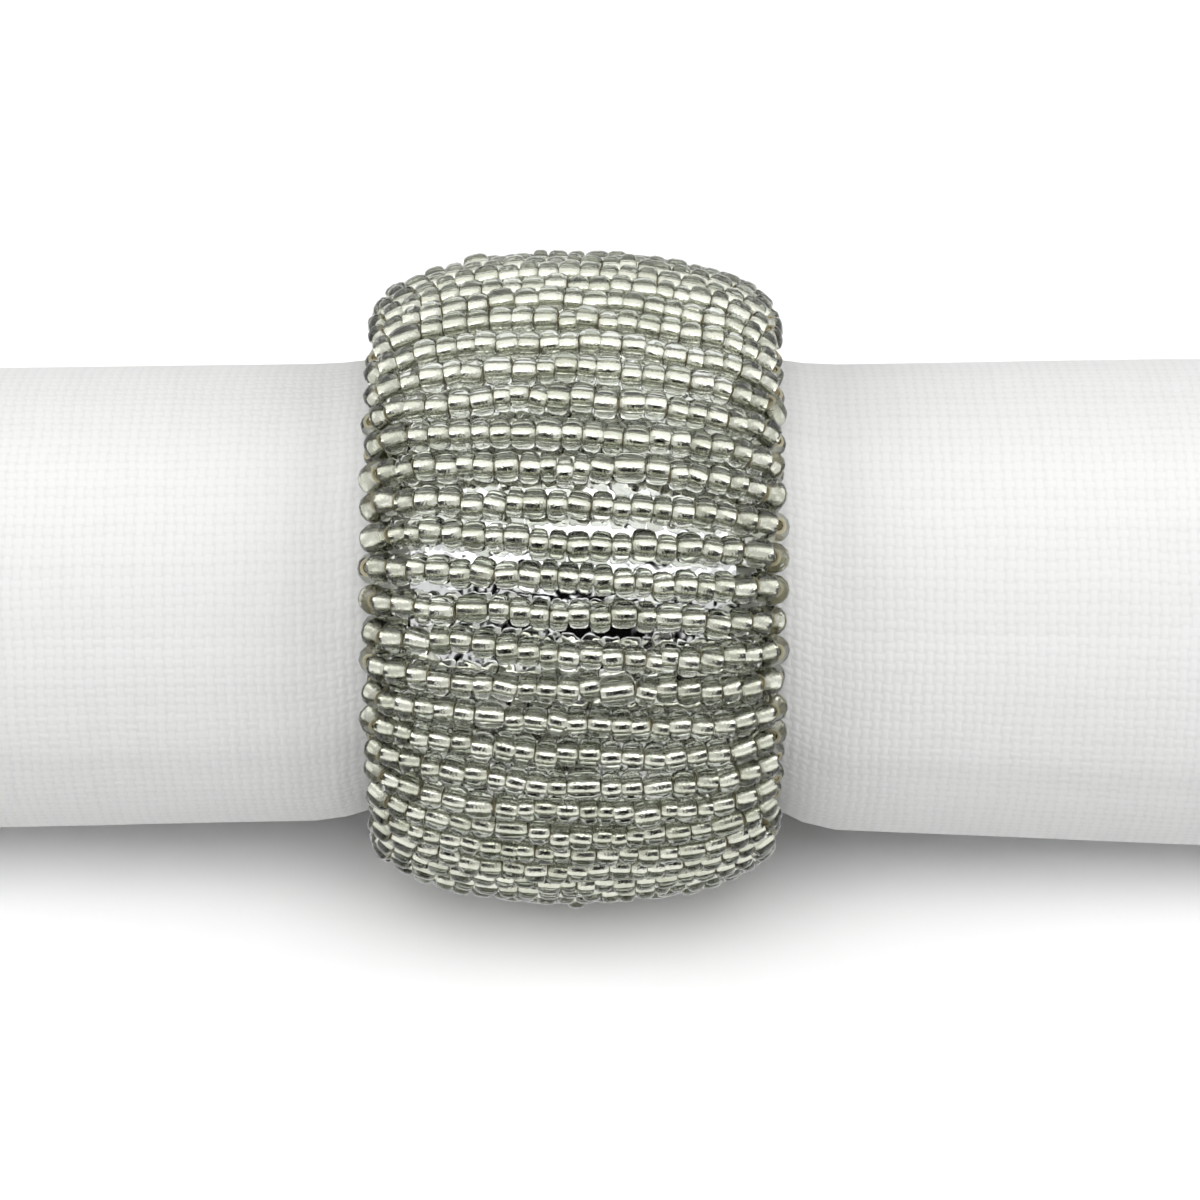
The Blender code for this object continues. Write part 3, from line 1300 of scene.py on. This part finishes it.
@dataclass(frozen=True)
class Viewpoint:
    """The camera at the photograph's angle."""

    elevation: float = math.radians(52.0)
    distance: float = 337.0 * MM
    view_width: float = math.radians(16.8)
    shift_right: float = 2.07 * MM
    shift_down: float = 1.86 * MM
    sensor: float = 36.0
    clip_start: float = 0.01

    def build(self) -> None:
        """Places the camera."""
        up, level = math.sin(self.elevation), math.cos(self.elevation)
        aim = Vector((self.shift_right, 0.0, AXIS_HEIGHT)) + Vector((0.0, -up, -level)) * self.shift_down
        data = bpy.data.cameras.new("camera")
        data.sensor_width = self.sensor
        data.lens = 0.5 * self.sensor / math.tan(0.5 * self.view_width)
        data.clip_start = self.clip_start
        camera = bpy.data.objects.new("camera", data)
        bpy.context.scene.collection.objects.link(camera)
        camera.location = aim + Vector((0.0, -level, up)) * self.distance
        camera.rotation_euler = (math.pi / 2 - self.elevation, 0.0, 0.0)
        bpy.context.scene.camera = camera


@dataclass
class Studio:
    """Pale floor, soft light and the camera.

    Matt surfaces are lit by all the lamps. Bright metal and glass see the sky and the first lamp.
    """

    floor_size: float = 1.5
    floor_place: Triple = (0.0, 0.63, 0.0)
    floor_noise: float = 8.0
    floor_tones: tuple[Triple, Triple] = ((0.95, 0.95, 0.95), (0.97, 0.97, 0.97))
    floor_roughness: float = 0.8
    sky: Sky = field(default_factory=Sky)
    viewpoint: Viewpoint = field(default_factory=Viewpoint)
    lamps: tuple[Lamp, ...] = (
        Lamp("soft_key", (0.5, 0.3), 0.8, (0.0, -0.20, 0.62), True),
        Lamp("broad_key", (0.5, 0.3), 1.0, (0.0, -0.20, 0.62), False),
        Lamp("front_key", (0.5, 0.25), 1.4, (0.0, -0.26, 0.59), False),
        Lamp("back_fill", (0.8, 0.4), 1.1, (0.0, 0.55, 0.45), False),
        Lamp("left_fill", (0.6, 0.5), 4.1, (-0.60, -0.10, 0.45), False),
        Lamp("right_fill", (0.6, 0.5), 4.1, (0.60, -0.10, 0.45), False),
    )

    def build(self) -> None:
        """Builds floor, light and camera."""
        self.floor()
        self.sky.build()
        for lamp in self.lamps:
            lamp.build()
        self.viewpoint.build()
        bpy.context.scene.view_settings.view_transform = "Standard"
        LOG.info("studio: %d lamps", len(self.lamps))

    def floor(self) -> None:
        """Lays a wide pale floor at the height the ring rests on."""
        clear_selection()
        bpy.ops.mesh.primitive_plane_add(size=self.floor_size, location=self.floor_place)
        floor = bpy.context.object
        floor.name = "floor"
        floor.visible_glossy = False
        n = Nodes(bpy.data.materials.new("pale_floor"))
        tone = n.mix(n.noise(n.place(), self.floor_noise), *self.floor_tones)
        pale = n.surface(Base_Color=tone, Roughness=self.floor_roughness, Specular_IOR_Level=0.0)
        floor.data.materials.append(pale)


def main() -> None:
    """Builds everything in order."""
    logging.basicConfig(level=logging.INFO, format="%(message)s")
    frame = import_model()
    LOG.info("nodes: %s", ", ".join(sorted(frame["nodes"])))
    Napkin().build(LinenCloth().material())
    StrungBeads().build(
        BeadGlass().material(), GroundEnds().material(), SilverLining().material(), StrandThread().material()
    )
    DomedBand().build(BandSilver().material())
    Studio().build()


if __name__ == "__main__":
    main()
